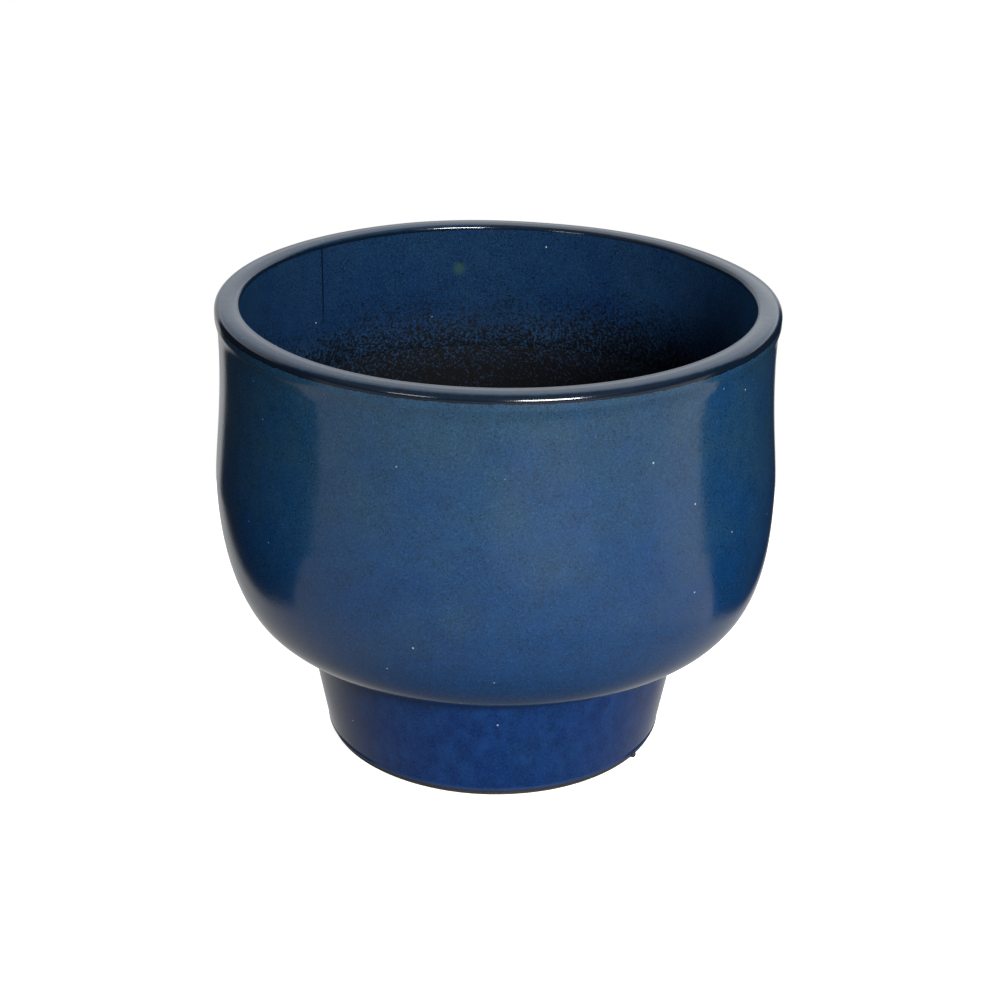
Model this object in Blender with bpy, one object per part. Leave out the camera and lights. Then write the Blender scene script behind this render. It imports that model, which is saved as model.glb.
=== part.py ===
"""Footed planter in glazed stoneware: a deep bowl luted onto a separate foot ring.

The fired clay is three pieces. The bowl is one turned wall with a rim and a
floor, the foot ring is a short tapering sleeve, and a thin ring of joining slip
lies between them. The glaze is a coat of glass over the clay, made as three
skins: the outside of the bowl with its rim, the upper inside, and the foot.

Metres, +Z up. The origin is the centre of the foot, on the ground.
"""

import math

import bmesh
import bpy
from mathutils import Vector
from mathutils.geometry import interpolate_bezier

for leftover in list(bpy.data.objects):
    bpy.data.objects.remove(leftover)

# Overall sizes, over the glaze
HEIGHT = 0.296
BELLY_RADIUS = 0.180
BELLY_Z = 0.178
WAIST_RADIUS = 0.1748
WAIST_Z = 0.265
BOWL_BOTTOM_Z = 0.079
FOOT_TOP_RADIUS = 0.126
FOOT_BASE_RADIUS = 0.109

# Rim: a rolled lip that stands out past the wall below it
RIM_INNER_RADIUS = 0.161
RIM_INNER_ROUND = 0.003
LIP_RADIUS = 0.1768
LIP_ROUND = 0.005
LIP_FACE = 0.004
LIP_UNDERCUT = 0.0016
LIP_UNDERCUT_DROP = 0.004

# Clay and its coats
WALL = 0.0138
DRAIN_RADIUS = 0.014
DRAIN_ROUND = 0.002
FOOT_WALL = 0.016
FOOT_EDGE_ROUND = 0.002
SLIP = 0.0012
SLIP_INSET = 0.002
GLAZE = 0.0007
GAP = 0.0003
COAT = GLAZE + GAP
RIM_GLAZE_RETURN = 0.001
INNER_GLAZE_END_Z = 0.205
FOOT_GLAZE_END_Z = 0.005

# Lengths of the Bezier handles that make the bowl's curve full or lean
WAIST_HANDLE = 0.036
UPPER_BELLY_HANDLE = 0.024
LOWER_BELLY_HANDLE = 0.080
BOTTOM_HANDLE = Vector((0.029, 0.003))

# Fineness
SEGMENTS = 56
ROUND_STEPS = 3
UPPER_STEPS = 4
LOWER_STEPS = 8
SMOOTH_ANGLE = math.radians(35)


# --- Outlines: runs of (radius, height) points --------------------------------

def curve(start, start_handle, end_handle, end, steps):
    """Points of one Bezier stretch, both ends included."""
    corners = [Vector((r, z, 0.0)) for r, z in (start, start_handle, end_handle, end)]
    return [(p.x, p.y) for p in interpolate_bezier(*corners, steps + 1)]


def quarter_round(centre_r, centre_z, radius, start_degrees):
    """Points of a rounded edge: a quarter turn clockwise from the start angle."""
    points = []
    for step in range(ROUND_STEPS + 1):
        angle = math.radians(start_degrees - 90 * step / ROUND_STEPS)
        points.append((centre_r + radius * math.cos(angle), centre_z + radius * math.sin(angle)))
    return points


def shifted(run, distance):
    """The same run of points, moved to the left of its direction of travel."""
    moved = []
    for index, point in enumerate(run):
        here = Vector(point)
        before = Vector(run[max(index - 1, 0)])
        after = Vector(run[min(index + 1, len(run) - 1)])
        steps = [step.normalized() for step in (here - before, after - here) if step.length > 0]
        along = sum(steps, Vector((0.0, 0.0))).normalized()
        reach = distance / along.dot(steps[0])
        moved.append((here.x - along.y * reach, here.y + along.x * reach))
    return moved


def kept_above(run, height):
    """The part of a run above a height, ending exactly on it."""
    kept = []
    for (r0, z0), (r1, z1) in zip(run, run[1:]):
        if z0 > height:
            kept.append((r0, z0))
        if (z0 - height) * (z1 - height) < 0:
            kept.append((r0 + (r1 - r0) * (height - z0) / (z1 - z0), height))
    if run[-1][1] > height:
        kept.append(run[-1])
    return kept


def rim_start_z():
    """Height inside the bowl where the outer and the inner coat meet."""
    return HEIGHT - RIM_INNER_ROUND - RIM_GLAZE_RETURN


def rim_run():
    """Over the rim and down the lip, from just inside the bowl to the undercut."""
    lip_bottom_z = HEIGHT - LIP_ROUND - LIP_FACE
    start = (RIM_INNER_RADIUS, rim_start_z())
    inner = quarter_round(
        RIM_INNER_RADIUS + RIM_INNER_ROUND, HEIGHT - RIM_INNER_ROUND, RIM_INNER_ROUND, 180)
    outer = quarter_round(LIP_RADIUS - LIP_ROUND, HEIGHT - LIP_ROUND, LIP_ROUND, 90)
    lip_bottom = (LIP_RADIUS, lip_bottom_z)
    undercut = (LIP_RADIUS - LIP_UNDERCUT, lip_bottom_z - LIP_UNDERCUT_DROP)
    return [start] + inner + outer + [lip_bottom, undercut]


def wall_run():
    """Down the outside of the bowl, from the waist to the foot."""
    waist = (WAIST_RADIUS, WAIST_Z)
    belly = (BELLY_RADIUS, BELLY_Z)
    bottom = (FOOT_TOP_RADIUS, BOWL_BOTTOM_Z)
    upper = curve(
        waist, (WAIST_RADIUS, WAIST_Z - WAIST_HANDLE),
        (BELLY_RADIUS, BELLY_Z + UPPER_BELLY_HANDLE), belly, UPPER_STEPS)
    lower = curve(
        belly, (BELLY_RADIUS, BELLY_Z - LOWER_BELLY_HANDLE),
        Vector(bottom) + BOTTOM_HANDLE, bottom, LOWER_STEPS)
    return upper + lower[1:]


def inside_run():
    """Up the inside of the bowl, from the edge of the floor to the waist."""
    return shifted(wall_run(), -WALL)[::-1]


def foot_radius(height):
    """Radius over the glaze of the foot's straight, tapering side."""
    return FOOT_BASE_RADIUS + (FOOT_TOP_RADIUS - FOOT_BASE_RADIUS) * height / BOWL_BOTTOM_Z


# --- Solids -------------------------------------------------------------------

def surface(name, colour, roughness, metallic=0.0):
    """A plain material with a colour, a roughness and a metallic value."""
    material = bpy.data.materials.new(name)
    material.use_nodes = True
    shader = material.node_tree.nodes["Principled BSDF"]
    shader.inputs["Base Color"].default_value = (*colour, 1.0)
    shader.inputs["Roughness"].default_value = roughness
    shader.inputs["Metallic"].default_value = metallic
    material.diffuse_color = (*colour, 1.0)
    return material


def turned(name, outline, material):
    """A solid of revolution: a closed outline spun once around the Z axis."""
    shape = bmesh.new()
    corners = [shape.verts.new((r, 0.0, z)) for r, z in outline]
    edges = [shape.edges.new(ends) for ends in zip(corners, corners[1:] + corners[:1])]
    bmesh.ops.spin(
        shape, geom=corners + edges, cent=(0, 0, 0), axis=(0, 0, 1),
        angle=math.tau, steps=SEGMENTS, use_merge=True)
    bmesh.ops.recalc_face_normals(shape, faces=shape.faces)
    mesh = bpy.data.meshes.new(name)
    shape.to_mesh(mesh)
    shape.free()
    mesh.materials.append(material)
    mesh.shade_smooth()
    mesh.set_sharp_from_angle(angle=SMOOTH_ANGLE)
    solid = bpy.data.objects.new(name, mesh)
    bpy.context.scene.collection.objects.link(solid)
    return solid


def coat(name, run, material):
    """A skin of glaze whose outer face follows a run of points."""
    return turned(name, run + shifted(run, -GLAZE)[::-1], material)


def make_bowl(material):
    """Thrown wall, rolled rim and flat floor with a drain hole in its centre."""
    outside = shifted(rim_run() + wall_run(), -COAT)
    inside = shifted(inside_run(), -COAT)
    bottom_z = outside[-1][1]
    floor_z = inside[0][1]
    drain_centre_r = DRAIN_RADIUS + DRAIN_ROUND
    drain = quarter_round(drain_centre_r, bottom_z + DRAIN_ROUND, DRAIN_ROUND, 270)
    drain += quarter_round(drain_centre_r, floor_z - DRAIN_ROUND, DRAIN_ROUND, 180)
    return turned("bowl", outside + drain + inside, material)


def make_foot_ring(material):
    """Tapering sleeve, open at both ends, that carries the bowl."""
    top_z = BOWL_BOTTOM_Z + COAT - GAP - SLIP - GAP
    top_r = foot_radius(top_z) - COAT
    base_r = foot_radius(0.0) - COAT
    outer_edge = quarter_round(
        base_r - FOOT_EDGE_ROUND, FOOT_EDGE_ROUND, FOOT_EDGE_ROUND, 0)
    inner_edge = quarter_round(
        base_r - FOOT_WALL + FOOT_EDGE_ROUND, FOOT_EDGE_ROUND, FOOT_EDGE_ROUND, 270)
    outline = [(top_r, top_z)] + outer_edge + inner_edge + [(top_r - FOOT_WALL, top_z)]
    return turned("foot_ring", outline, material)


def make_luting_slip(material):
    """Thin flat ring of slip that bonds the foot ring to the bowl."""
    top_z = BOWL_BOTTOM_Z + COAT - GAP
    bottom_z = top_z - SLIP
    outer_r = foot_radius(bottom_z) - COAT - SLIP_INSET
    inner_r = foot_radius(bottom_z) - COAT - FOOT_WALL + SLIP_INSET
    outline = [(outer_r, top_z), (outer_r, bottom_z), (inner_r, bottom_z), (inner_r, top_z)]
    return turned("luting_slip", outline, material)


def make_inner_glaze(material):
    """Coat on the upper inside of the bowl, up to where the rim's coat begins."""
    top = (RIM_INNER_RADIUS, rim_start_z() - GAP)
    return coat("inner_glaze", kept_above(inside_run(), INNER_GLAZE_END_Z) + [top], material)


def make_foot_glaze(material):
    """Coat on the side of the foot ring, stopping short of the ground."""
    top_z = BOWL_BOTTOM_Z - GAP
    run = [(foot_radius(z), z) for z in (top_z, FOOT_GLAZE_END_Z)]
    return coat("foot_glaze", run, material)


make_bowl(surface("bowl_clay", (0.075, 0.052, 0.042), 0.85))
make_foot_ring(surface("foot_clay", (0.110, 0.085, 0.070), 0.85))
make_luting_slip(surface("slip_clay", (0.160, 0.130, 0.110), 0.90))
coat("outer_glaze", rim_run() + wall_run(), surface("outer_blue", (0.030, 0.090, 0.220), 0.12))
make_inner_glaze(surface("inner_blue", (0.022, 0.070, 0.150), 0.18))
make_foot_glaze(surface("foot_blue", (0.016, 0.060, 0.170), 0.12))
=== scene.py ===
"""Looks of a footed stoneware planter: the thrown bowl, its foot ring and the blue glaze.

Metres, +Z up, origin at the centre of the foot on the ground.
"""

import math

import bpy
from mathutils import Matrix, Vector
from mathutils.geometry import interpolate_bezier


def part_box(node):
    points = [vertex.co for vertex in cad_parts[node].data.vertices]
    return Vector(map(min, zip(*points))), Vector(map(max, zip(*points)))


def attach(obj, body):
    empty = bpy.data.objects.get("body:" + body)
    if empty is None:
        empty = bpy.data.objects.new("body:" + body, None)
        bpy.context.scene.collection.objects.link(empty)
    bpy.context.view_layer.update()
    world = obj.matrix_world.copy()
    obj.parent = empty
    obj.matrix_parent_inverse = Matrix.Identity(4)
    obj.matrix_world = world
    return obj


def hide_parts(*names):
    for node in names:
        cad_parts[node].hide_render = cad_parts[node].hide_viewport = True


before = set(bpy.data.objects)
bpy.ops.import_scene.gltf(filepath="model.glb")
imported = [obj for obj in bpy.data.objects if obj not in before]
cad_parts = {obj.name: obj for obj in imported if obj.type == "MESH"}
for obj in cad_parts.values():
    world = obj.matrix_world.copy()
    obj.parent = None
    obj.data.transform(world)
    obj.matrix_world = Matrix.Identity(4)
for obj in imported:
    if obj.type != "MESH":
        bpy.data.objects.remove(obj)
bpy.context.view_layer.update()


# The bowl. One wall of dark, iron-rich stoneware clay, thrown on a wheel and
# turned, with a rolled rim and a flat floor. A drain hole is cut through the
# floor while the clay is leather-hard, and its edges are wiped round.

MM = 0.001
SPIN_STEPS = 208
WALL = 13.8 * MM
COAT = 1.0 * MM
RIM_INNER = 161 * MM
RIM_INNER_ROUND = 3 * MM
LIP_PROUD = 3.2 * MM
LIP_ROUND = 4.6 * MM
LIP_FACE = 4.4 * MM
LIP_DROP = 0.1 * MM
RIM_RETURN = 1 * MM
RIM_DOME = 0.3 * MM
CROWN_IN = 7 * MM
NECK_IN = 1.8 * MM
NECK_FROM = 14 * MM
NECK_TO = 20 * MM
WAIST_R = 174.8 * MM
WAIST_Z = 265 * MM
BELLY_Z = 178 * MM
WAIST_HANDLE = 42 * MM
UPPER_BELLY_HANDLE = 18 * MM
LOWER_BELLY_HANDLE = 80 * MM
UNDER_HANDLE_OUT = 30 * MM
UNDER_HANDLE_UP = 1.9 * MM
CREASE_IN = 0.6 * MM
CREASE_TUCK = 0.6 * MM
DRAIN_RADIUS = 14 * MM
DRAIN_ROUND = 2 * MM
FLOOR_RING = 7 * MM
FLOOR_RING_DEPTH = 0.5 * MM
UNDERSIDE_RING = 4 * MM
UNDERSIDE_RING_DEPTH = 0.25 * MM

outer_low, outer_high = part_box("outer_glaze")
foot_glaze_low, foot_glaze_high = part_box("foot_glaze")
BELLY_R = outer_high.x
RIM_Z = outer_high.z
CREASE_Z = outer_low.z
CREASE_R = foot_glaze_high.x - CREASE_IN
FLOOR_Z = 91.6 * MM


def arc(centre_r, centre_z, radius, start, end, steps):
    """Points on part of a circle in the section, angles in degrees."""
    points = []
    for step in range(steps + 1):
        angle = math.radians(start + (end - start) * step / steps)
        points.append((centre_r + radius * math.cos(angle), centre_z + radius * math.sin(angle)))
    return points


def sweep(start, start_handle, end_handle, end, steps):
    """Points on one smooth stretch of the section, both ends included."""
    corners = [Vector((r, z, 0)) for r, z in (start, start_handle, end_handle, end)]
    return [(p.x, p.y) for p in interpolate_bezier(*corners, steps + 1)]


SHARPEST_BEND = 0.3


def inset(run, depth):
    """The same run, moved into the wall: to the right of the way it goes."""
    moved = []
    for index, point in enumerate(run):
        here = Vector(point)
        before = Vector(run[max(index - 1, 0)])
        after = Vector(run[min(index + 1, len(run) - 1)])
        steps = [step.normalized() for step in (here - before, after - here) if step.length > 0]
        along = sum(steps, Vector((0, 0))).normalized()
        reach = depth / max(along.dot(steps[0]), SHARPEST_BEND)
        moved.append((here.x + along.y * reach, here.y - along.x * reach))
    return moved


POINTS_PER_RING = 6


def ringed(start_r, end_r, height, spacing, depth):
    """A flat stretch with the shallow rings that fingers or a turning tool leave."""
    count = max(int(abs(end_r - start_r) / spacing * POINTS_PER_RING), 2)
    points = []
    for step in range(count + 1):
        r = start_r + (end_r - start_r) * step / count
        fade = math.sin(math.pi * step / count) ** 0.5
        wave = 0.5 - 0.5 * math.cos(math.tau * r / spacing)
        points.append((r, height + depth * wave * fade))
    return points


def rim_outline():
    """Over the glazed rim: from inside the bowl, across the top and down the lip to the neck."""
    lip_r = BELLY_R - LIP_PROUD
    lip_low_z = RIM_Z - LIP_ROUND - LIP_FACE
    start = (RIM_INNER, RIM_Z - RIM_INNER_ROUND - RIM_RETURN)
    inner = arc(RIM_INNER + RIM_INNER_ROUND, RIM_Z - RIM_INNER_ROUND - RIM_DOME,
                RIM_INNER_ROUND, 180, 100, 8)
    crown = [(RIM_INNER + CROWN_IN, RIM_Z)]
    outer = arc(lip_r - LIP_ROUND, RIM_Z - LIP_ROUND - LIP_DROP, LIP_ROUND, 86, 0, 10)
    neck = sweep((lip_r, lip_low_z + 0.6 * MM), (lip_r, lip_low_z - 1.6 * MM),
                 (lip_r - NECK_IN, RIM_Z - NECK_FROM), (lip_r - NECK_IN, RIM_Z - NECK_TO), 10)
    return [start] + inner + crown + outer + neck


def wall_outline():
    """Down the glazed outside: waist, belly and the turn under to the foot."""
    upper = sweep((WAIST_R, WAIST_Z), (WAIST_R, WAIST_Z - WAIST_HANDLE),
                  (BELLY_R, BELLY_Z + UPPER_BELLY_HANDLE), (BELLY_R, BELLY_Z), 22)
    lower = sweep((BELLY_R, BELLY_Z), (BELLY_R, BELLY_Z - LOWER_BELLY_HANDLE),
                  (CREASE_R + UNDER_HANDLE_OUT, CREASE_Z + UNDER_HANDLE_UP),
                  (CREASE_R, CREASE_Z - CREASE_TUCK), 36)
    return upper + lower[1:]


def deselect():
    """Leaves no object selected, so that an operator acts on the next piece alone."""
    bpy.ops.object.select_all(action="DESELECT")


START_SIZE = 1 * MM
DOUBLES = 0.01 * MM


def turn(name, outline):
    """Draws a closed section corner by corner and spins it round the pot's axis."""
    deselect()
    first = outline[0]
    bpy.ops.mesh.primitive_plane_add(size=START_SIZE, location=(first[0], 0, first[1]))
    bpy.ops.object.transform_apply(location=True)
    piece = bpy.context.object
    piece.name = name
    piece.data.name = name
    bpy.ops.object.mode_set(mode="EDIT")
    bpy.ops.mesh.merge(type="CENTER")
    for (r0, z0), (r1, z1) in zip(outline, outline[1:]):
        bpy.ops.mesh.extrude_region_move(TRANSFORM_OT_translate={"value": (r1 - r0, 0, z1 - z0)})
    bpy.ops.mesh.select_all(action="SELECT")
    bpy.ops.mesh.edge_face_add()
    bpy.ops.mesh.delete(type="ONLY_FACE")
    bpy.ops.mesh.select_all(action="SELECT")
    bpy.ops.mesh.spin(steps=SPIN_STEPS, angle=math.tau, center=(0, 0, 0), axis=(0, 0, 1))
    bpy.ops.mesh.select_all(action="SELECT")
    bpy.ops.mesh.remove_doubles(threshold=DOUBLES)
    bpy.ops.mesh.normals_make_consistent(inside=False)
    bpy.ops.object.mode_set(mode="OBJECT")
    return piece


def soften(piece, amount, size, direction, slide=0.0):
    """Moves a piece's skin by a soft, cloudy unevenness along one axis."""
    unevenness = bpy.data.textures.new(piece.name + "_unevenness", type="CLOUDS")
    unevenness.noise_scale = size
    unevenness.noise_depth = 1
    place = bpy.data.objects.new(piece.name + "_texture_place", None)
    bpy.context.scene.collection.objects.link(place)
    place.location = (slide, slide, 0)
    bpy.context.view_layer.objects.active = piece
    bpy.context.view_layer.update()
    bpy.ops.object.modifier_add(type="DISPLACE")
    change = piece.modifiers[-1]
    change.texture = unevenness
    change.texture_coords = "OBJECT"
    change.texture_coords_object = place
    change.direction = direction
    change.mid_level = 0.5
    change.strength = amount
    bpy.ops.object.modifier_apply(modifier=change.name)
    bpy.data.objects.remove(place)


THROWING_SLACK = 0.9 * MM
BOWL_LEAN = 1.4 * MM
LEAN_BELOW = 110 * MM
LEAN_FADE = 80 * MM
SLACK_SIZE = 90 * MM
RIM_BAND = 25 * MM
RIM_REACH = 0.93
SMOOTH_ANGLE = math.radians(40)
# Where the rim dips: the direction in degrees, how deep, and how far it fades
RIM_DIPS = ((-90, 1.1 * MM, 170 * MM), (55, 1.3 * MM, 120 * MM))


def throw(piece, lean=0.0):
    """Gives a turned piece the slight out-of-round, and the lean, of clay thrown by hand."""
    deselect()
    piece.select_set(True)
    soften(piece, THROWING_SLACK, SLACK_SIZE, "X")
    soften(piece, THROWING_SLACK, SLACK_SIZE, "Y", slide=0.5)
    slack = 1 - THROWING_SLACK / 2 / BELLY_R
    bpy.ops.object.mode_set(mode="EDIT")
    bpy.ops.mesh.select_all(action="SELECT")
    bpy.ops.transform.resize(value=(slack, slack, 1), center_override=(0, 0, 0))
    bpy.ops.mesh.select_all(action="DESELECT")
    bpy.ops.object.mode_set(mode="OBJECT")
    for corner in piece.data.vertices:
        corner.select = corner.co.z < LEAN_BELOW
    bpy.ops.object.mode_set(mode="EDIT")
    if lean:
        bpy.ops.transform.translate(
            value=(lean, 0, 0), use_proportional_edit=True,
            proportional_edit_falloff="SMOOTH", proportional_size=LEAN_FADE)
    for direction, dip, fade in RIM_DIPS:
        bpy.ops.mesh.select_all(action="DESELECT")
        bpy.ops.object.mode_set(mode="OBJECT")
        angle = math.radians(direction)
        outward = Vector((math.cos(angle), math.sin(angle), 0))
        for corner in piece.data.vertices:
            on_rim = corner.co.z > RIM_Z - RIM_BAND
            corner.select = on_rim and corner.co.dot(outward) > BELLY_R * RIM_REACH
        bpy.ops.object.mode_set(mode="EDIT")
        bpy.ops.transform.translate(
            value=(0, 0, -dip), use_proportional_edit=True,
            proportional_edit_falloff="SMOOTH", proportional_size=fade)
    bpy.ops.object.mode_set(mode="OBJECT")
    bpy.ops.object.shade_smooth_by_angle(angle=SMOOTH_ANGLE)


def srgb(code):
    """A colour written as sRGB hex, as the linear colour a shader takes."""
    channels = [int(code[i:i + 2], 16) / 255 for i in (1, 3, 5)]
    linear = [c / 12.92 if c <= 0.04045 else ((c + 0.055) / 1.055) ** 2.4 for c in channels]
    return (*linear, 1.0)


def add(tree, kind, inputs=None, **settings):
    """Adds one node with its settings; inputs are values or other nodes' outputs."""
    made = tree.nodes.new(kind)
    for name, value in settings.items():
        setattr(made, name, value)
    for socket, value in (inputs or {}).items():
        if isinstance(value, bpy.types.NodeSocket):
            tree.links.new(value, made.inputs[socket])
        else:
            made.inputs[socket].default_value = value
    return made


def new_material(name):
    """An empty material with its shader, and the coordinates of the piece itself."""
    material = bpy.data.materials.new(name)
    material.use_nodes = True
    tree = material.node_tree
    place = add(tree, "ShaderNodeTexCoord").outputs["Object"]
    return material, tree, tree.nodes["Principled BSDF"], place


def finish_with(piece, material):
    """Puts one material on a piece."""
    piece.data.materials.clear()
    piece.data.materials.append(material)


FLOOR_EDGE_R = 125 * MM
FLOOR_CLEAR = 0.2 * MM
FLOOR_CORNER = 1.5 * MM
DRAIN_MARGIN = 0.5 * MM
UNDERSIDE_MARGIN = 1 * MM

clay_outside = inset(rim_outline() + wall_outline(), COAT)
underside_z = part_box("bowl")[0].z
drain_ring_r = DRAIN_RADIUS + DRAIN_ROUND
clay_underside = ringed(clay_outside[-1][0] - UNDERSIDE_MARGIN, drain_ring_r, underside_z,
                        UNDERSIDE_RING, UNDERSIDE_RING_DEPTH)
drain = arc(drain_ring_r, underside_z + DRAIN_ROUND, DRAIN_ROUND, 270, 180, 5)
drain += arc(drain_ring_r, FLOOR_Z - DRAIN_ROUND, DRAIN_ROUND, 180, 90, 5)
clay_inside = inset(wall_outline(), WALL - COAT)[::-1]
clay_inside = [(r, z) for r, z in clay_inside
               if r > FLOOR_EDGE_R and z > FLOOR_Z + FLOOR_CLEAR]
clay_floor = ringed(drain_ring_r + DRAIN_MARGIN, clay_inside[0][0] - FLOOR_CORNER,
                    FLOOR_Z - FLOOR_RING_DEPTH, FLOOR_RING, FLOOR_RING_DEPTH)
bowl = turn("bowl_clay", clay_outside + clay_underside + drain[:-1] + clay_floor + clay_inside)
throw(bowl, BOWL_LEAN)

# Dark ironstone clay, fired hard and left bare: matt, gritty, warm black-brown,
# with iron specks and a thin scatter of blue glaze mist that reached down the wall.
# Above the floor the bare wall is nearly black: partly its dark clay, partly painted shade.
GRIT = 1.1 * MM
CLAY_CLOUD = 35 * MM
MIST_TOP = 268 * MM
MIST_MIDDLE = 212 * MM
MIST_END = 125 * MM
MIST_DRIFT = 80 * MM
MIST_WANDER = 13 * MM
DARK_FROM = FLOOR_Z + 6 * MM
DARK_TO = FLOOR_Z + 26 * MM
BLOTCH = 1.8 * MM
BARE_CLAY_AND_SHADE = "#08090D"
MIST_BLUE = "#213B58"


def bareness(tree, place, height):
    """How bare the inside is, from 0 under full glaze to 1 on clay, in blotches."""
    blotch = add(tree, "ShaderNodeTexNoise",
                 {"Vector": place, "Scale": 1 / BLOTCH, "Detail": 3.0, "Roughness": 0.65})
    drift = add(tree, "ShaderNodeTexNoise",
                {"Vector": place, "Scale": 1 / MIST_DRIFT, "Detail": 2.0, "Roughness": 0.5})
    drifted = add(tree, "ShaderNodeMapRange",
                  {"Value": drift.outputs["Fac"], "From Min": 0.3, "From Max": 0.7,
                   "To Min": -MIST_WANDER, "To Max": MIST_WANDER})
    level = add(tree, "ShaderNodeMath",
                {0: height.outputs["Z"], 1: drifted.outputs["Result"]}, operation="ADD")
    thinning = add(tree, "ShaderNodeMapRange",
                   {"Value": level.outputs["Value"], "From Min": MIST_MIDDLE, "From Max": MIST_TOP,
                    "To Min": 0.08, "To Max": -0.26})
    ending = add(tree, "ShaderNodeMapRange",
                 {"Value": level.outputs["Value"], "From Min": MIST_END, "From Max": MIST_MIDDLE,
                  "To Min": 0.24, "To Max": 0.0})
    spread = add(tree, "ShaderNodeMath",
                 {0: thinning.outputs["Result"], 1: ending.outputs["Result"]}, operation="ADD")
    total = add(tree, "ShaderNodeMath",
                {0: blotch.outputs["Fac"], 1: spread.outputs["Value"]}, operation="ADD")
    share = add(tree, "ShaderNodeMapRange",
                {"Value": total.outputs["Value"], "From Min": 0.42, "From Max": 0.60})
    return share.outputs["Result"]


clay, tree, shader, place = new_material("ironstone_clay")
cloud = add(tree, "ShaderNodeTexNoise",
            {"Vector": place, "Scale": 1 / CLAY_CLOUD, "Detail": 3.0, "Roughness": 0.6})
grit = add(tree, "ShaderNodeTexNoise",
           {"Vector": place, "Scale": 1 / GRIT, "Detail": 2.0, "Roughness": 0.6})
body = add(tree, "ShaderNodeMix",
           {0: cloud.outputs["Fac"], 6: srgb("#2A211E"), 7: srgb("#43362F")}, data_type="RGBA")
speck = add(tree, "ShaderNodeMapRange",
            {"Value": grit.outputs["Fac"], "From Min": 0.50, "From Max": 0.64})
specked = add(tree, "ShaderNodeMix",
              {0: speck.outputs["Result"], 6: body.outputs[2], 7: srgb("#14100F")},
              data_type="RGBA")
height = add(tree, "ShaderNodeSeparateXYZ", {"Vector": place})
bare = bareness(tree, place, height)
# Partly painted shade: the inside wall turns nearly black above the floor.
darkened = add(tree, "ShaderNodeMapRange",
               {"Value": height.outputs["Z"], "From Min": DARK_FROM, "From Max": DARK_TO})
wall_clay = add(tree, "ShaderNodeMix",
                {0: darkened.outputs["Result"], 6: specked.outputs[2], 7: srgb(BARE_CLAY_AND_SHADE)},
                data_type="RGBA")
misted = add(tree, "ShaderNodeMix",
             {0: bare, 6: srgb(MIST_BLUE), 7: wall_clay.outputs[2]}, data_type="RGBA")
tree.links.new(misted.outputs[2], shader.inputs["Base Color"])
dull = add(tree, "ShaderNodeMapRange", {"Value": bare, "To Min": 0.30, "To Max": 0.75})
tree.links.new(dull.outputs["Result"], shader.inputs["Roughness"])
bump = add(tree, "ShaderNodeBump",
           {"Height": grit.outputs["Fac"], "Strength": 0.35, "Distance": 0.25 * MM})
tree.links.new(bump.outputs["Normal"], shader.inputs["Normal"])
shader.inputs["IOR"].default_value = 1.5
shader.inputs["Specular IOR Level"].default_value = 0.15

finish_with(bowl, clay)
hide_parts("bowl")
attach(bowl, "root")


# The foot ring. A short tapering sleeve of the same clay, thrown on its own and
# luted under the bowl. Its lowest few millimetres and its inside stay bare, and
# the edge it stands on is worn smooth and paler.

FOOT_WALL = 16 * MM
FOOT_EDGE = 1.3 * MM
FOOT_TOP_IN = 0.7 * MM
FOOT_CLOUD = 28 * MM
INNER_RIDGES = 9
RIDGE_POINTS = 6
RIDGE_DEPTH = 0.35 * MM
CRUMB_ANGLE = math.radians(56.5)
CRUMB = 2.2 * MM
CRUMB_IN = 0.2 * MM

foot_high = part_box("foot_ring")[1]
foot_top_z = foot_high.z
foot_top_r = foot_high.x - FOOT_TOP_IN
foot_base_r = 110.5 * MM
foot_outline = [(foot_top_r, foot_top_z)]
foot_outline += arc(foot_base_r - FOOT_EDGE, FOOT_EDGE, FOOT_EDGE, 6, -90, 6)
foot_outline += arc(foot_base_r - FOOT_WALL + FOOT_EDGE, FOOT_EDGE, FOOT_EDGE, 270, 186, 6)
for step in range(1, INNER_RIDGES * RIDGE_POINTS):
    share = step / (INNER_RIDGES * RIDGE_POINTS)
    r = foot_base_r - FOOT_WALL + (foot_top_r - foot_base_r) * share
    z = FOOT_EDGE + (foot_top_z - FOOT_EDGE) * share
    wave = 0.5 - 0.5 * math.cos(math.tau * share * INNER_RIDGES)
    foot_outline.append((r + RIDGE_DEPTH * wave, z))
foot_outline += [(foot_top_r - FOOT_WALL, foot_top_z)]
foot = turn("foot_clay", foot_outline)
throw(foot)

# A crumb of clay that stuck to the foot's edge in the kiln, fused to it
crumb_r = foot_base_r - CRUMB_IN
deselect()
bpy.ops.mesh.primitive_uv_sphere_add(
    segments=20, ring_count=12, radius=CRUMB,
    location=(crumb_r * math.sin(CRUMB_ANGLE), -crumb_r * math.cos(CRUMB_ANGLE), CRUMB))
crumb = bpy.context.object
crumb.scale = (1.0, 1.2, 0.95)
bpy.ops.object.transform_apply(location=False, rotation=False, scale=True)
bpy.ops.object.transform_apply(location=True)
bpy.ops.object.shade_smooth()
bpy.context.view_layer.objects.active = foot
bpy.ops.object.modifier_add(type="BOOLEAN")
weld = foot.modifiers[-1]
weld.operation = "UNION"
weld.object = crumb
bpy.ops.object.modifier_apply(modifier=weld.name)
bpy.data.objects.remove(crumb)

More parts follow.
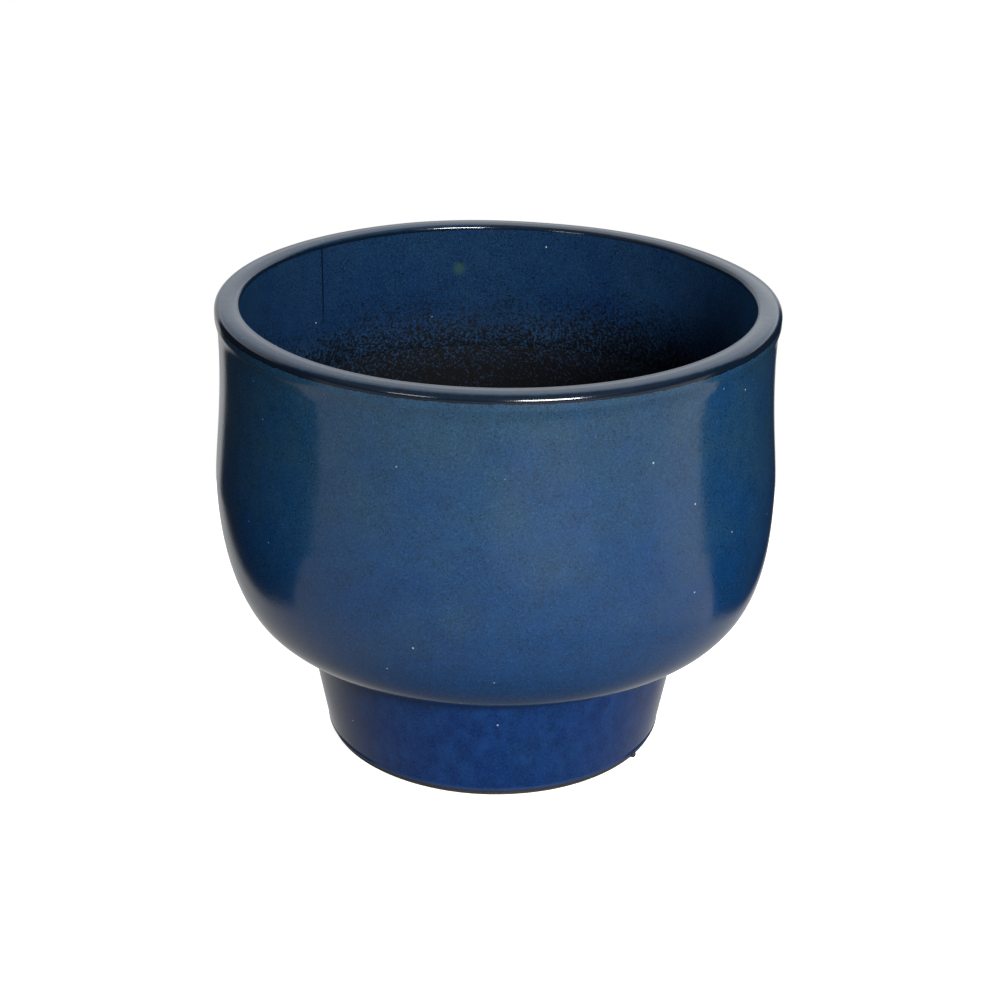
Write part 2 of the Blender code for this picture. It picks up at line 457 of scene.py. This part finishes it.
# The same ironstone clay, turned with a metal tool: fine rings, matt, and rubbed
# to a paler grey-brown where the pot stands.
foot_clay, tree, shader, place = new_material("turned_ironstone_clay")
cloud = add(tree, "ShaderNodeTexNoise",
            {"Vector": place, "Scale": 1 / FOOT_CLOUD, "Detail": 4.0, "Roughness": 0.6})
grit = add(tree, "ShaderNodeTexNoise",
           {"Vector": place, "Scale": 1 / GRIT, "Detail": 2.0, "Roughness": 0.6})
body = add(tree, "ShaderNodeMix",
           {0: cloud.outputs["Fac"], 6: srgb("#262020"), 7: srgb("#3A3230")}, data_type="RGBA")
speck = add(tree, "ShaderNodeMapRange",
            {"Value": grit.outputs["Fac"], "From Min": 0.52, "From Max": 0.66})
specked = add(tree, "ShaderNodeMix",
              {0: speck.outputs["Result"], 6: body.outputs[2], 7: srgb("#17110F")},
              data_type="RGBA")
height = add(tree, "ShaderNodeSeparateXYZ", {"Vector": place})
worn = add(tree, "ShaderNodeMapRange",
           {"Value": height.outputs["Z"], "From Min": 0.2 * MM, "From Max": 1.2 * MM,
            "To Min": 0.7, "To Max": 0.0})
rubbed = add(tree, "ShaderNodeMix",
             {0: worn.outputs["Result"], 6: specked.outputs[2], 7: srgb("#8C7B6C")},
             data_type="RGBA")
tree.links.new(rubbed.outputs[2], shader.inputs["Base Color"])
dull = add(tree, "ShaderNodeMapRange",
           {"Value": worn.outputs["Result"], "To Min": 0.86, "To Max": 0.62})
tree.links.new(dull.outputs["Result"], shader.inputs["Roughness"])
bump = add(tree, "ShaderNodeBump",
           {"Height": grit.outputs["Fac"], "Strength": 0.35, "Distance": 0.25 * MM})
tree.links.new(bump.outputs["Normal"], shader.inputs["Normal"])
shader.inputs["IOR"].default_value = 1.5

finish_with(foot, foot_clay)
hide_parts("foot_ring")
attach(foot, "root")


# The luting slip. Runny clay brushed on the scored joint before the foot is
# pressed to the bowl: a thin ring in the joint, with a bead squeezed out into
# the hollow of the foot and smeared by a finger.

SLIP_OUT = 0.8 * MM
SLIP_BOND = 0.15 * MM
SQUEEZE = 4.2 * MM
SMEAR = 0.7 * MM
SMEAR_SIZE = 9 * MM
SLIP_CLOUD = 12 * MM
BRUSH_MARK = 1.6 * MM

slip_outer_r = foot_top_r - SLIP_OUT
slip_top_z = underside_z + SLIP_BOND
slip_low_z = foot_top_z - SLIP_BOND
corner_r = foot_top_r - FOOT_WALL
bead_r = corner_r - SQUEEZE - 0.6 * MM
slip_outline = [(slip_outer_r, slip_top_z), (slip_outer_r, slip_low_z)]
# Out of the joint, down the foot's inner wall, and up the bead's hollow face
slip_outline += [(corner_r + 1 * MM, slip_low_z)]
slip_outline += [(corner_r - 0.1 * MM, foot_top_z - SQUEEZE + 0.4 * MM)]
slip_outline += sweep((corner_r - 1.2 * MM, foot_top_z - SQUEEZE),
                      (corner_r - 1.6 * MM, foot_top_z - 1.6 * MM),
                      (corner_r - 2.4 * MM, underside_z - 1.6 * MM),
                      (bead_r, underside_z - 0.4 * MM), 8)
slip_outline += [(bead_r, slip_top_z)]
slip = turn("luting_slip_bead", slip_outline)
throw(slip)
deselect()
slip.select_set(True)
soften(slip, SMEAR, SMEAR_SIZE, "Z")

# Dried and fired joining slip: the finest part of the clay, so it is smoother
# and a shade paler than the grogged clay round it, with brush marks.
slip_clay, tree, shader, place = new_material("fired_joining_slip")
cloud = add(tree, "ShaderNodeTexNoise",
            {"Vector": place, "Scale": 1 / SLIP_CLOUD, "Detail": 4.0, "Roughness": 0.55})
body = add(tree, "ShaderNodeMix",
           {0: cloud.outputs["Fac"], 6: srgb("#51403A"), 7: srgb("#7A675C")}, data_type="RGBA")
tree.links.new(body.outputs[2], shader.inputs["Base Color"])
brush = add(tree, "ShaderNodeTexNoise",
            {"Vector": place, "Scale": 1 / BRUSH_MARK, "Detail": 3.0, "Roughness": 0.6})
bump = add(tree, "ShaderNodeBump",
           {"Height": brush.outputs["Fac"], "Strength": 0.4, "Distance": 0.3 * MM})
tree.links.new(bump.outputs["Normal"], shader.inputs["Normal"])
shader.inputs["Roughness"].default_value = 0.78
shader.inputs["IOR"].default_value = 1.5

finish_with(slip, slip_clay)
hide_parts("luting_slip")
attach(slip, "root")


# The outer glaze. One skin of cobalt-blue stoneware glaze, poured over the rim
# and the outside and fired to glass about a millimetre thick, fused to the clay.

BOND = 0.15 * MM

outer_run = rim_outline() + wall_outline()
outer_glaze = turn("outer_glaze_skin", outer_run + inset(outer_run, COAT + BOND)[::-1])
throw(outer_glaze, BOWL_LEAN)


# Reactive cobalt glaze, poured and fired glossy: clear blue glass over dark iron
# specks, clouded blue and grey-teal, thin and grey on the rim, nearly black on the
# lip's rounding from thin glaze and painted shade, with a dark line where it breaks
# over the lip.
SPECK = 1.0 * MM
IRON_APART = 2.6 * MM
CLOUD = 42 * MM
PINHOLE = 0.42 * MM
PINHOLE_APART = 19 * MM
CROWD = 14 * MM
RIPPLE = 7 * MM
BROKEN_EDGE = 6 * MM
EDGE_WANDER = 1.1 * MM
LIP_LINE_Z = RIM_Z - 5.9 * MM
LIP_LINE_HALF = 0.4 * MM


def cobalt_glaze(name, blue, teal, dark, fleck, teal_from, teal_to):
    """The blue glaze, with its clouds, its specks and its pinholes, drawn pale as painted glints.
    """
    material, tree, shader, place = new_material(name)
    height = add(tree, "ShaderNodeSeparateXYZ", {"Vector": place})
    cloud = add(tree, "ShaderNodeTexNoise",
                {"Vector": place, "Scale": 1 / CLOUD, "Detail": 3.0, "Roughness": 0.6})
    rise = add(tree, "ShaderNodeMapRange",
               {"Value": height.outputs["Z"], "From Min": teal_from, "From Max": teal_to,
                "To Min": -0.18, "To Max": 0.30})
    tealness = add(tree, "ShaderNodeMath",
                   {0: cloud.outputs["Fac"], 1: rise.outputs["Result"]}, operation="ADD")
    teal_share = add(tree, "ShaderNodeMapRange",
                     {"Value": tealness.outputs["Value"], "From Min": 0.34, "From Max": 0.84})
    base = add(tree, "ShaderNodeMix",
               {0: teal_share.outputs["Result"], 6: srgb(blue), 7: srgb(teal)},
               data_type="RGBA")
    speckle = add(tree, "ShaderNodeTexNoise",
                  {"Vector": place, "Scale": 1 / SPECK, "Detail": 2.5, "Roughness": 0.75})
    crowd = add(tree, "ShaderNodeTexNoise",
                {"Vector": place, "Scale": 1 / CROWD, "Detail": 2.0, "Roughness": 0.6})
    crowding = add(tree, "ShaderNodeMapRange",
                   {"Value": crowd.outputs["Fac"], "From Min": 0.3, "From Max": 0.7,
                    "To Min": -0.03, "To Max": 0.035})
    crowded = add(tree, "ShaderNodeMath",
                  {0: speckle.outputs["Fac"], 1: crowding.outputs["Result"]}, operation="ADD")
    haze_share = add(tree, "ShaderNodeMapRange",
                     {"Value": crowded.outputs["Value"], "From Min": 0.34, "From Max": 0.74,
                      "To Max": 0.80})
    hazed = add(tree, "ShaderNodeMix",
                {0: haze_share.outputs["Result"], 6: base.outputs[2], 7: srgb(dark)},
                data_type="RGBA")
    fleck_share = add(tree, "ShaderNodeMapRange",
                      {"Value": speckle.outputs["Fac"], "From Min": 0.42, "From Max": 0.26,
                       "To Max": 0.40})
    flecked = add(tree, "ShaderNodeMix",
                  {0: fleck_share.outputs["Result"], 6: hazed.outputs[2], 7: srgb(fleck)},
                  data_type="RGBA")
    iron = add(tree, "ShaderNodeTexVoronoi",
               {"Vector": place, "Scale": 1 / IRON_APART}, feature="F1")
    iron_size = add(tree, "ShaderNodeMapRange",
                    {"Value": crowd.outputs["Fac"], "From Min": 0.35, "From Max": 0.65,
                     "To Min": 0.16, "To Max": 0.34})
    iron_share = add(tree, "ShaderNodeMapRange",
                     {"Value": iron.outputs["Distance"], "From Min": iron_size.outputs["Result"],
                      "From Max": 0.10, "To Max": 0.75})
    specked = add(tree, "ShaderNodeMix",
                  {0: iron_share.outputs["Result"], 6: flecked.outputs[2], 7: srgb(dark)},
                  data_type="RGBA")
    # Painted glints: the pinholes are real, their pale colour stands for light caught in them.
    hole = add(tree, "ShaderNodeTexVoronoi",
               {"Vector": place, "Scale": 1 / PINHOLE_APART}, feature="F1")
    pinhole_glint_share = add(tree, "ShaderNodeMapRange",
                     {"Value": hole.outputs["Distance"],
                      "From Min": PINHOLE / PINHOLE_APART,
                      "From Max": 1.7 * PINHOLE / PINHOLE_APART, "To Min": 0.9, "To Max": 0.0})
    pinhole_glinted = add(tree, "ShaderNodeMix",
                  {0: pinhole_glint_share.outputs["Result"], 6: specked.outputs[2], 7: srgb("#A9B8C2")},
                  data_type="RGBA")
    ripple = add(tree, "ShaderNodeTexNoise",
                 {"Vector": place, "Scale": 1 / RIPPLE, "Detail": 2.0, "Roughness": 0.5})
    relief = add(tree, "ShaderNodeMath",
                 {0: speckle.outputs["Fac"], 1: 0.10}, operation="MULTIPLY")
    surface = add(tree, "ShaderNodeMath",
                  {0: ripple.outputs["Fac"], 1: relief.outputs["Value"]}, operation="ADD")
    bump = add(tree, "ShaderNodeBump",
               {"Height": surface.outputs["Value"], "Strength": 0.18, "Distance": 0.25 * MM})
    tree.links.new(bump.outputs["Normal"], shader.inputs["Normal"])
    sheen = add(tree, "ShaderNodeMapRange",
                {"Value": cloud.outputs["Fac"], "From Min": 0.3, "From Max": 0.7,
                 "To Min": 0.10, "To Max": 0.17})
    tree.links.new(sheen.outputs["Result"], shader.inputs["Roughness"])
    shader.inputs["IOR"].default_value = 1.5
    return material, tree, shader, place, height, pinhole_glinted.outputs[2]


cobalt, tree, shader, place, height, colour = cobalt_glaze(
    "fired_cobalt_glaze", "#0C3D6E", "#224661", "#071A2A", "#2C6090", 0.14, 0.29)
edge_noise = add(tree, "ShaderNodeTexNoise",
                 {"Vector": place, "Scale": 1 / BROKEN_EDGE, "Detail": 3.0, "Roughness": 0.7})
edge_shift = add(tree, "ShaderNodeMapRange",
                 {"Value": edge_noise.outputs["Fac"], "To Min": -EDGE_WANDER,
                  "To Max": EDGE_WANDER})
edge_height = add(tree, "ShaderNodeMath",
                  {0: height.outputs["Z"], 1: edge_shift.outputs["Result"]}, operation="ADD")
top_share = add(tree, "ShaderNodeMapRange",
                {"Value": edge_height.outputs["Value"], "From Min": RIM_Z - 2.4 * MM,
                 "From Max": RIM_Z - 1.0 * MM, "To Max": 0.8})
# Partly painted shade: the lip's rounding goes nearly black, where the glaze also runs thin.
lip_share = add(tree, "ShaderNodeMapRange",
                {"Value": edge_height.outputs["Value"], "From Min": RIM_Z - 6.6 * MM,
                 "From Max": RIM_Z - 5.2 * MM, "To Max": 0.92})
lip_break_and_shade = add(tree, "ShaderNodeMix",
               {0: lip_share.outputs["Result"], 6: colour, 7: srgb("#070F1C")}, data_type="RGBA")
thinned = add(tree, "ShaderNodeMix",
              {0: top_share.outputs["Result"], 6: lip_break_and_shade.outputs[2], 7: srgb("#1C3A54")},
              data_type="RGBA")
lip_line = add(tree, "ShaderNodeMath",
               {0: edge_height.outputs["Value"], 1: LIP_LINE_Z, 2: LIP_LINE_HALF},
               operation="COMPARE")
broken = add(tree, "ShaderNodeMix",
             {0: lip_line.outputs["Value"], 6: thinned.outputs[2], 7: srgb("#0E0A09")},
             data_type="RGBA")
tree.links.new(broken.outputs[2], shader.inputs["Base Color"])

finish_with(outer_glaze, cobalt)
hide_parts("outer_glaze")
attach(outer_glaze, "root")


# The inner glaze. The same blue, poured in, rolled round the upper wall and
# tipped out. It thins as it goes down and ends as a scatter of drops on clay.

FEATHER = 6 * MM
FEATHER_BACK = 1.1 * MM
FULL_GLAZE_Z = 236 * MM
RUN_ANGLE = math.radians(228)
RUN_HALF = 0.7 * MM
RUN_FROM = 232 * MM
RUN_TO = 250 * MM
SPOT = (-28 * MM, 158.5 * MM, 264 * MM)
SPOT_MIDDLE = 2 * MM
SPOT_EDGE = 6 * MM

inner_low, inner_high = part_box("inner_glaze")
inside_run = inset(wall_outline(), WALL)[::-1]
inner_run = [(r, z) for r, z in inside_run if z > inner_low.z + FEATHER]
inner_run += [(RIM_INNER, inner_high.z)]
inner_run = [(inner_run[0][0] + FEATHER_BACK, inner_low.z)] + inner_run
back = [(r + COAT + BOND, z) for r, z in inner_run[::-1]]
inner_glaze = turn("inner_glaze_skin", inner_run + back)
throw(inner_glaze)

# The same cobalt glaze, poured thin: darker, clear over the clay, duller as it
# breaks into blotches, with one dark run down the wall and one greenish spot.
blue_wash, tree, shader, place, height, colour = cobalt_glaze(
    "thin_cobalt_glaze", "#123058", "#1B3857", "#040A18", "#25507F", 0.15, 0.30)
bare = bareness(tree, place, height)
into_mist = add(tree, "ShaderNodeMapRange",
                {"Value": height.outputs["Z"], "From Min": inner_low.z,
                 "From Max": FULL_GLAZE_Z})
thin = add(tree, "ShaderNodeMix",
           {0: into_mist.outputs["Result"], 6: srgb(MIST_BLUE), 7: colour}, data_type="RGBA")
# Bare blotches take the nearly black inside clay, which is partly painted shade.
fading = add(tree, "ShaderNodeMix",
             {0: bare, 6: thin.outputs[2], 7: srgb(BARE_CLAY_AND_SHADE)}, data_type="RGBA")
across = add(tree, "ShaderNodeVectorMath",
             {0: place, 1: (math.cos(RUN_ANGLE), math.sin(RUN_ANGLE), 0)},
             operation="DOT_PRODUCT")
run_line = add(tree, "ShaderNodeMath",
               {0: across.outputs["Value"], 1: 0.0, 2: RUN_HALF}, operation="COMPARE")
run_side = add(tree, "ShaderNodeMath",
               {0: height.outputs["Y"], 1: 0.0}, operation="GREATER_THAN")
run_high = add(tree, "ShaderNodeMapRange",
               {"Value": height.outputs["Z"], "From Min": RUN_FROM, "From Max": RUN_TO,
                "To Max": 0.75})
run_here = add(tree, "ShaderNodeMath",
               {0: run_line.outputs["Value"], 1: run_side.outputs["Value"]}, operation="MULTIPLY")
run_share = add(tree, "ShaderNodeMath",
                {0: run_here.outputs["Value"], 1: run_high.outputs["Result"]}, operation="MULTIPLY")
lined = add(tree, "ShaderNodeMix",
            {0: run_share.outputs["Value"], 6: fading.outputs[2], 7: srgb("#04070C")},
            data_type="RGBA")
spot_away = add(tree, "ShaderNodeVectorMath", {0: place, 1: SPOT}, operation="DISTANCE")
spot_share = add(tree, "ShaderNodeMapRange",
                 {"Value": spot_away.outputs["Value"], "From Min": SPOT_MIDDLE,
                  "From Max": SPOT_EDGE, "To Min": 0.55, "To Max": 0.0})
spotted = add(tree, "ShaderNodeMix",
              {0: spot_share.outputs["Result"], 6: lined.outputs[2], 7: srgb("#2F4A3C")},
              data_type="RGBA")
tree.links.new(spotted.outputs[2], shader.inputs["Base Color"])
dull = add(tree, "ShaderNodeMapRange", {"Value": bare, "To Min": 0.16, "To Max": 0.42})
tree.links.new(dull.outputs["Result"], shader.inputs["Roughness"])
shader.inputs["Specular IOR Level"].default_value = 0.35

finish_with(inner_glaze, blue_wash)
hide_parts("inner_glaze")
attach(inner_glaze, "root")


# The foot glaze. The same blue on the side of the foot, thicker because it ran
# down in the kiln. It pools in the crease under the bowl and ends in a rolled
# edge just above the ground, where a sponge cleared it from the clay.

FOOT_SIDE_BASE = 110.8 * MM
EDGE_Z = foot_glaze_low.z - 1.7 * MM
POOL_END_Z = CREASE_Z - 3.5 * MM
SIDE_STEPS = 19
FOOT_RUN = 9 * MM
# The rolled lower edge, as millimetres out from its root and up from EDGE_Z
ROLLED_EDGE = ((0.95, 2.6), (1.15, 1.4), (1.05, 0.5), (0.6, -0.1), (-0.2, -0.3))


def foot_side(z):
    """Radius over the glaze on the foot's straight side."""
    return FOOT_SIDE_BASE + (CREASE_R - FOOT_SIDE_BASE) * z / CREASE_Z


foot_run = sweep((CREASE_R + 2.6 * MM, CREASE_Z + 0.15 * MM),
                 (CREASE_R + 0.6 * MM, CREASE_Z - 0.2 * MM),
                 (CREASE_R - 0.2 * MM, CREASE_Z - 1.4 * MM),
                 (foot_side(POOL_END_Z), POOL_END_Z), 6)
for step in range(1, SIDE_STEPS + 1):
    z = POOL_END_Z - (POOL_END_Z - EDGE_Z - 4 * MM) * step / SIDE_STEPS
    foot_run.append((foot_side(z), z))
root_r = foot_side(EDGE_Z) - 0.55 * MM
foot_run += [(root_r + out * MM, EDGE_Z + rise * MM) for out, rise in ROLLED_EDGE]
back = [(foot_side(z) - COAT - BOND, z)
        for z in (EDGE_Z + 0.2 * MM, 25 * MM, 45 * MM, CREASE_Z - 1 * MM)]
back += [(CREASE_R + 1.5 * MM, CREASE_Z + 0.5 * MM)]
foot_glaze = turn("foot_glaze_skin", foot_run + back)
throw(foot_glaze)

# The same cobalt glaze where it ran thick: a deeper, purer blue with soft upright
# streaks, darkest in the crease from pooled glaze and painted shade, and thin and grey
# along its lower edge.
foot_blue, tree, shader, place, height, colour = cobalt_glaze(
    "pooled_cobalt_glaze", "#06316C", "#0C3765", "#050F26", "#1C4E84", 0.02, 0.16)
stretched = add(tree, "ShaderNodeMapping", {"Vector": place, "Scale": (1, 1, 0.6)})
streak = add(tree, "ShaderNodeTexNoise",
             {"Vector": stretched.outputs["Vector"], "Scale": 1 / FOOT_RUN, "Detail": 3.0,
              "Roughness": 0.6})
streak_share = add(tree, "ShaderNodeMapRange",
                   {"Value": streak.outputs["Fac"], "From Min": 0.42, "From Max": 0.70,
                    "To Max": 0.34})
streaked = add(tree, "ShaderNodeMix",
               {0: streak_share.outputs["Result"], 6: colour, 7: srgb("#1A4680")},
               data_type="RGBA")
edge_share = add(tree, "ShaderNodeMapRange",
                 {"Value": height.outputs["Z"], "From Min": EDGE_Z + 3.2 * MM,
                  "From Max": EDGE_Z + 1.4 * MM, "To Max": 0.7})
edged = add(tree, "ShaderNodeMix",
            {0: edge_share.outputs["Result"], 6: streaked.outputs[2], 7: srgb("#2C3D55")},
            data_type="RGBA")
# Partly painted shade: the glaze darkens towards the crease under the bowl, where it also pools.
pool_and_shade_share = add(tree, "ShaderNodeMapRange",
                 {"Value": height.outputs["Z"], "From Min": CREASE_Z - 11 * MM,
                  "From Max": CREASE_Z - 2 * MM, "To Max": 0.75},
                 interpolation_type="SMOOTHSTEP")
pooled_and_shaded = add(tree, "ShaderNodeMix",
             {0: pool_and_shade_share.outputs["Result"], 6: edged.outputs[2], 7: srgb("#081833")},
             data_type="RGBA")
tree.links.new(pooled_and_shaded.outputs[2], shader.inputs["Base Color"])
shader.inputs["Specular IOR Level"].default_value = 0.18

finish_with(foot_glaze, foot_blue)
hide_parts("foot_glaze")
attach(foot_glaze, "root")


# The studio. A round white table, a wide bright front, a bright back, and dark
# gaps at both sides, with two soft boxes in front of the pot and one behind it.

TABLE_RADIUS = 460 * MM
TABLE_DROP = 0.1 * MM

deselect()
bpy.ops.mesh.primitive_circle_add(vertices=128, radius=TABLE_RADIUS, fill_type="NGON",
                                  location=(0, 0, -TABLE_DROP))
floor = bpy.context.object
floor.name = "table"
# Matt white laminate that glows, so that hardly any edge or shadow shows on it.
# Reflections and bounced light don't see it: the room below stands in for it there.
table_top, _, shader, _ = new_material("white_table")
shader.inputs["Base Color"].default_value = srgb("#D8D8D8")
shader.inputs["Roughness"].default_value = 0.9
shader.inputs["Emission Color"].default_value = srgb("#FFFFFF")
shader.inputs["Emission Strength"].default_value = 0.86
floor.data.materials.append(table_top)
floor.visible_glossy = False
floor.visible_diffuse = False

# How bright each part of the room is, seen from the pot
FRONT_TURN = math.radians(7.6)
FRONT_LEVEL = 0.64
FRONT_LEFT_LEVEL = 0.42
FRONT_HIGH_LEVEL = 0.05
REAR_LEVEL = 0.65
REAR_HIGH_LEVEL = 0.90
REAR_LOW_LEVEL = 1.40
GAP_LEVEL = 0.018
SKY_LEVEL = 0.18
TABLE_LEVEL = 0.46
TABLE_REAR_LEVEL = 0.54
TABLE_UNDER_SHARE = 0.45
DIFFUSE_SHARE = 0.36
# Two brighter stripes in the front: their turn in degrees, where they begin, the gain
STRIPES = ((19, 0.895, 0.22), (88, 0.86, 0.20))
STRIPE_FULL = 0.915

world = bpy.data.worlds.new("studio")
bpy.context.scene.world = world
world.use_nodes = True
tree = world.node_tree
way = add(tree, "ShaderNodeTexCoord").outputs["Generated"]
up = add(tree, "ShaderNodeSeparateXYZ", {"Vector": way})
facing = add(tree, "ShaderNodeVectorMath",
             {0: way, 1: (math.sin(FRONT_TURN), -math.cos(FRONT_TURN), 0)},
             operation="DOT_PRODUCT")
# The front: dimmer to the left and above, and wider low down
front_even = add(tree, "ShaderNodeMapRange",
                 {"Value": up.outputs["X"], "From Min": -0.6, "From Max": 0.5,
                  "To Min": FRONT_LEFT_LEVEL, "To Max": FRONT_LEVEL})
stripe_level = front_even.outputs["Result"]
for stripe_turn, stripe_from, stripe_gain in STRIPES:
    angle = math.radians(stripe_turn)
    stripe_way = (math.sin(angle), -math.cos(angle), 0)
    along = add(tree, "ShaderNodeVectorMath", {0: way, 1: stripe_way}, operation="DOT_PRODUCT")
    stripe = add(tree, "ShaderNodeMapRange",
                 {"Value": along.outputs["Value"], "From Min": stripe_from, "From Max": STRIPE_FULL,
                  "To Max": stripe_gain}, interpolation_type="SMOOTHSTEP")
    stripe_level = add(tree, "ShaderNodeMath", {0: stripe_level, 1: stripe.outputs["Result"]},
                       operation="ADD").outputs["Value"]
front_rise = add(tree, "ShaderNodeMapRange",
                 {"Value": up.outputs["Z"], "From Min": -0.15, "From Max": 0.05,
                  "To Min": stripe_level, "To Max": FRONT_HIGH_LEVEL})
front_limit = add(tree, "ShaderNodeMapRange",
                  {"Value": up.outputs["Z"], "From Min": -0.60, "From Max": -0.35,
                   "To Min": -0.22, "To Max": 0.128})
front_in = add(tree, "ShaderNodeMath",
               {0: facing.outputs["Value"], 1: front_limit.outputs["Result"]},
               operation="SUBTRACT")
front = add(tree, "ShaderNodeMapRange",
            {"Value": front_in.outputs["Value"], "From Min": -0.02, "From Max": 0.02,
             "To Max": front_rise.outputs["Result"]}, interpolation_type="SMOOTHSTEP")
# The back: one level straight behind, another above it that reaches round to the sides
rear_low = add(tree, "ShaderNodeMapRange",
               {"Value": facing.outputs["Value"], "From Min": -0.84, "From Max": -0.89,
                "To Max": REAR_LEVEL}, interpolation_type="SMOOTHSTEP")
rear_even = add(tree, "ShaderNodeMapRange",
                {"Value": up.outputs["Z"], "From Min": 0.26, "From Max": 0.36,
                 "To Min": REAR_LOW_LEVEL, "To Max": REAR_HIGH_LEVEL})
rear_tilt = add(tree, "ShaderNodeMapRange",
                {"Value": up.outputs["X"], "From Min": -0.2, "From Max": 0.2,
                 "To Min": 0.72, "To Max": 1.10})
rear_level = add(tree, "ShaderNodeMath",
                 {0: rear_even.outputs["Result"], 1: rear_tilt.outputs["Result"]},
                 operation="MULTIPLY")
rear_side = add(tree, "ShaderNodeMapRange",
                {"Value": facing.outputs["Value"], "From Min": -0.15, "From Max": -0.40,
                 "To Max": rear_level.outputs["Value"]}, interpolation_type="SMOOTHSTEP")
rear_high = add(tree, "ShaderNodeMapRange",
                {"Value": up.outputs["Z"], "From Min": 0.16, "From Max": 0.26,
                 "To Max": rear_side.outputs["Result"]}, interpolation_type="SMOOTHSTEP")
rear = add(tree, "ShaderNodeMath",
           {0: rear_low.outputs["Result"], 1: rear_high.outputs["Result"]},
           operation="MAXIMUM")
# Overhead, then all of the room added up
sky = add(tree, "ShaderNodeMapRange",
          {"Value": up.outputs["Z"], "From Min": 0.40, "From Max": 0.65,
           "To Min": GAP_LEVEL, "To Max": SKY_LEVEL}, interpolation_type="SMOOTHSTEP")
sides = add(tree, "ShaderNodeMath",
            {0: front.outputs["Result"], 1: rear.outputs["Value"]}, operation="ADD")
lit = add(tree, "ShaderNodeMath",
          {0: sides.outputs["Value"], 1: sky.outputs["Result"]}, operation="ADD")
# The table, below a line that rises behind the pot, and dim right under the bowl
behind = add(tree, "ShaderNodeMath",
             {0: facing.outputs["Value"], 1: 0.0}, operation="MINIMUM")
behind_power = add(tree, "ShaderNodeMath", {0: behind.outputs["Value"], 1: 4.0},
                   operation="POWER")
table_line = add(tree, "ShaderNodeMath",
                 {0: behind_power.outputs["Value"], 1: 0.40, 2: -0.60},
                 operation="MULTIPLY_ADD")
table_level = add(tree, "ShaderNodeMapRange",
                  {"Value": facing.outputs["Value"], "From Min": 0.0, "From Max": -0.6,
                   "To Min": TABLE_LEVEL, "To Max": TABLE_REAR_LEVEL})
under_bowl = add(tree, "ShaderNodeMapRange",
                 {"Value": up.outputs["Z"], "From Min": -0.95, "From Max": -0.74,
                  "To Min": TABLE_UNDER_SHARE, "To Max": 1.0})
table_lit = add(tree, "ShaderNodeMath",
                {0: table_level.outputs["Result"], 1: under_bowl.outputs["Result"]},
                operation="MULTIPLY")
below = add(tree, "ShaderNodeMath",
            {0: up.outputs["Z"], 1: table_line.outputs["Value"]}, operation="SUBTRACT")
level = add(tree, "ShaderNodeMapRange",
            {"Value": below.outputs["Value"], "From Min": 0.02, "From Max": -0.03,
             "To Min": lit.outputs["Value"], "To Max": table_lit.outputs["Value"]},
            interpolation_type="SMOOTHSTEP")
# Matt surfaces get a share of this, and the camera sees plain white
rays = add(tree, "ShaderNodeLightPath")
spill = add(tree, "ShaderNodeMapRange",
            {"Value": rays.outputs["Is Diffuse Ray"], "To Min": 1.0, "To Max": DIFFUSE_SHARE})
strength = add(tree, "ShaderNodeMath",
               {0: level.outputs["Result"], 1: spill.outputs["Result"]}, operation="MULTIPLY")
around = tree.nodes["Background"]
tree.links.new(strength.outputs["Value"], around.inputs["Strength"])
around.inputs["Color"].default_value = srgb("#FFFFFF")
backdrop = add(tree, "ShaderNodeBackground", {"Color": srgb("#FFFFFF"), "Strength": 1.0})
shown = add(tree, "ShaderNodeMixShader",
            {0: rays.outputs["Is Camera Ray"], 1: around.outputs["Background"],
             2: backdrop.outputs["Background"]})
tree.links.new(shown.outputs["Shader"], tree.nodes["World Output"].inputs["Surface"])


AIM = Vector((0, 0, 180 * MM))


def soft_box(name, turn_degrees, rise_degrees, distance, width, depth, watts):
    """A rectangular soft lamp aimed at the middle of the pot."""
    turn_angle = math.radians(turn_degrees)
    rise = math.radians(rise_degrees)
    way_out = Vector((math.sin(turn_angle) * math.cos(rise),
                      -math.cos(turn_angle) * math.cos(rise), math.sin(rise)))
    bpy.ops.object.light_add(type="AREA", location=AIM + way_out * distance)
    lamp = bpy.context.object
    lamp.name = name
    lamp.data.shape = "RECTANGLE"
    lamp.data.size = width
    lamp.data.size_y = depth
    lamp.data.energy = watts
    lamp.rotation_mode = "QUATERNION"
    lamp.rotation_quaternion = way_out.to_track_quat("Z", "Y")
    lamp.visible_camera = False
    return lamp


soft_box("key_lamp", 20, 24, 2.0, 0.70, 0.35, 56)
soft_box("fill_lamp", -33, 25, 2.0, 0.45, 0.20, 3.5)
back_lamp = soft_box("back_lamp", 200, 30, 2.0, 0.90, 0.60, 26)
back_lamp.visible_glossy = False


# The camera: a short telephoto on a tripod in front of the pot, looking down,
# turned a touch on its own axis as a hand-set head is.

PLACE = (0, -1.1893, 0.6773)
LENS = 71.67
SENSOR = 36
PITCH = math.radians(-23.673)
YAW = math.radians(0.1255)
ROLL = math.radians(0.8285)

bpy.ops.object.camera_add(location=PLACE)
camera = bpy.context.object
camera.data.sensor_width = SENSOR
camera.data.lens = LENS
camera.data.clip_start = 0.05
camera.data.clip_end = 50
camera.data.dof.use_dof = False
ahead = Vector((math.sin(YAW) * math.cos(PITCH), math.cos(YAW) * math.cos(PITCH),
                math.sin(PITCH)))
level_right = Vector((math.cos(YAW), -math.sin(YAW), 0))
level_up = level_right.cross(ahead)
right = math.cos(ROLL) * level_right + math.sin(ROLL) * level_up
top = -math.sin(ROLL) * level_right + math.cos(ROLL) * level_up
camera.rotation_mode = "QUATERNION"
camera.rotation_quaternion = Matrix((right, top, -ahead)).transposed().to_quaternion()
bpy.context.scene.camera = camera

bpy.context.scene.view_settings.view_transform = "Standard"
